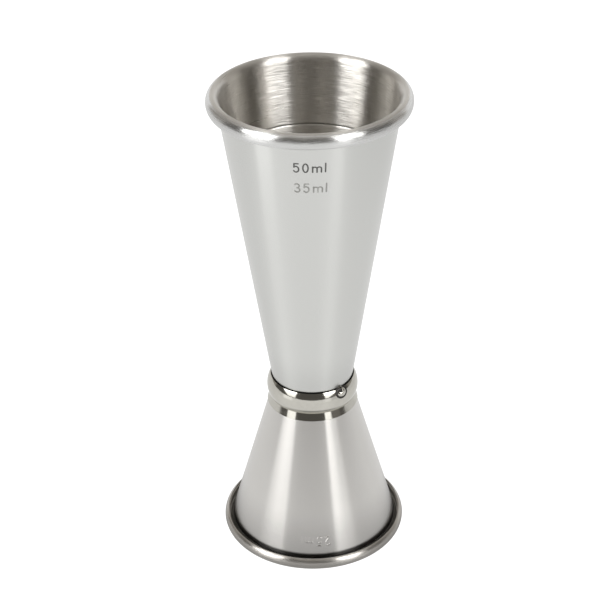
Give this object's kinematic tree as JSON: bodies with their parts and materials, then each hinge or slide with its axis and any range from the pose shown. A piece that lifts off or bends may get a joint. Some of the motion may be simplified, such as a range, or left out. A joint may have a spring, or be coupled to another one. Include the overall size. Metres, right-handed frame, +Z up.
{
  "type": "bar jigger",
  "caption": "Double-ended steel bar jigger: a tall cup over a short inverted cup, joined by a polished waist ring, both with rolled rims.",
  "frame": {"origin": "centre of the circle the lower rim rests on, at the bottom of the part", "axes": "+Z up along the common axis of both cups, towards the larger cup; -Y is the side with the capacity marks"},
  "size_m": [0.047, 0.047, 0.119],
  "materials": {
    "upper_steel": "fine circumferential brushing, satin",
    "lower_steel": "fine circumferential brushing, satin",
    "ring_steel": "mirror polished",
    "weld_metal": "as brazed, dull",
    "tack_metal": "polished over"
  },
  "bodies": {
    "root": {"upper_cup": "upper_steel", "lower_cup": "lower_steel", "waist_ring": "ring_steel", "floor_braze": "weld_metal", "ring_tack": "tack_metal"}
  },
  "joints": []
}
